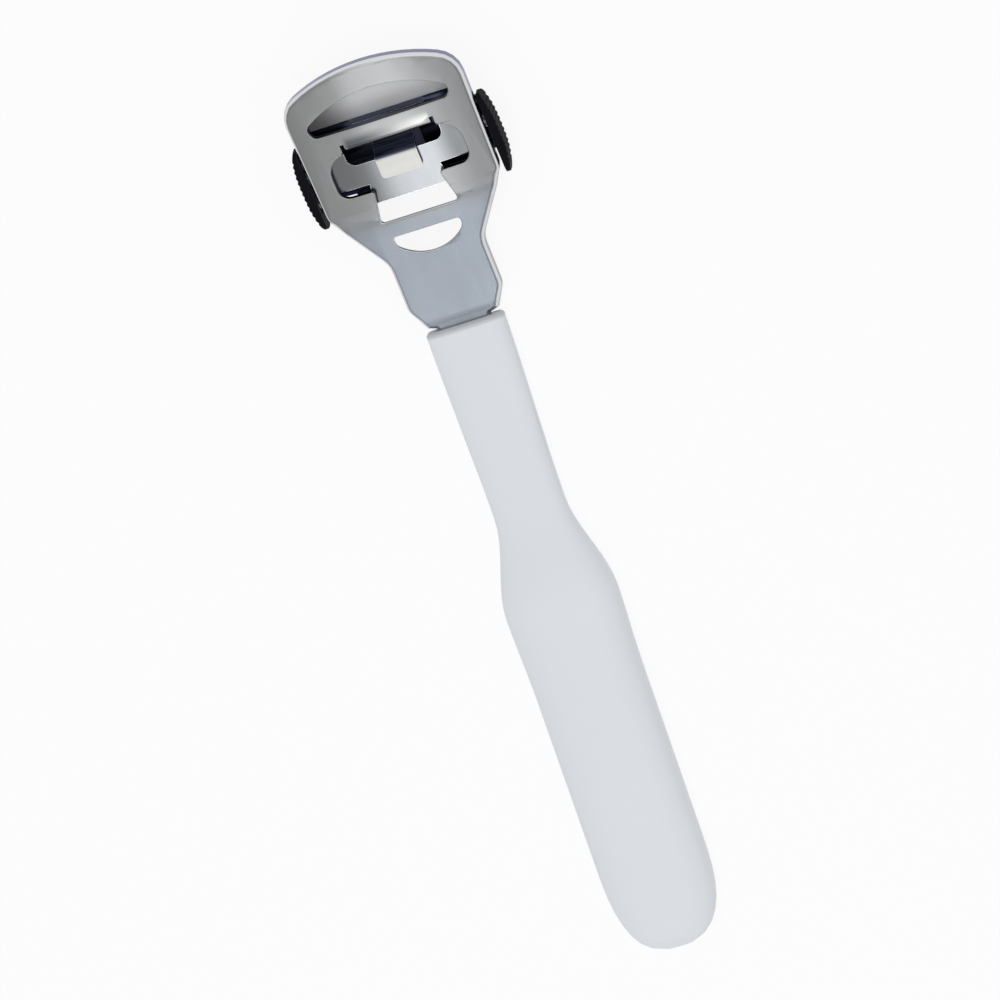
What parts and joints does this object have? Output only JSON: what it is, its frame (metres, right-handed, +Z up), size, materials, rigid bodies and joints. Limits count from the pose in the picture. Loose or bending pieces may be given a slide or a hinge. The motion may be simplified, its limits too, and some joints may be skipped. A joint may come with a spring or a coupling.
{
  "type": "callus remover",
  "caption": "Callus remover: a stamped steel head with a sprung, hinged clamp that holds a small blade under a crescent slot, on a flat white plastic handle.",
  "frame": {"origin": "under the middle of the tool, on the surface that the back of its handle lies on", "axes": "+Y runs along the tool towards the tip of the head, +X runs across it to the right, and +Z points up out of the face that carries the crescent slot"},
  "size_m": [0.0414, 0.1894, 0.016],
  "materials": {
    "frame_steel": "satin stamped stainless steel with a brighter rolled rim",
    "spring_steel": "satin spring steel",
    "handle_plastic": "smooth cool white moulded plastic, softly glossy",
    "clamp_steel": "satin stamped stainless steel",
    "blade_steel": "bright ground blade steel",
    "rivet_steel": "plain steel pins and rivets",
    "grip_plastic": "black moulded plastic with fine ribs"
  },
  "bodies": {
    "frame": {"frame_plate": "frame_steel", "spring_plate": "spring_steel", "handle": "handle_plastic"},
    "clamp": {"clamp_plate": "clamp_steel", "blade": "blade_steel", "left_blade_pin": "rivet_steel", "right_blade_pin": "rivet_steel", "left_pivot_rivet": "rivet_steel", "right_pivot_rivet": "rivet_steel", "left_grip": "grip_plastic", "right_grip": "grip_plastic"}
  },
  "joints": [
    {"name": "clamp", "type": "hinge", "parent": "frame", "child": "clamp", "pos_m": [0, 0.07493, 0.00652], "axis": [-1, 0, 0], "range_deg": [0, 20], "stiffness_Nm_per_rad": 0.1, "springref_deg": -40.11, "deforming": ["spring_plate"]}
  ]
}
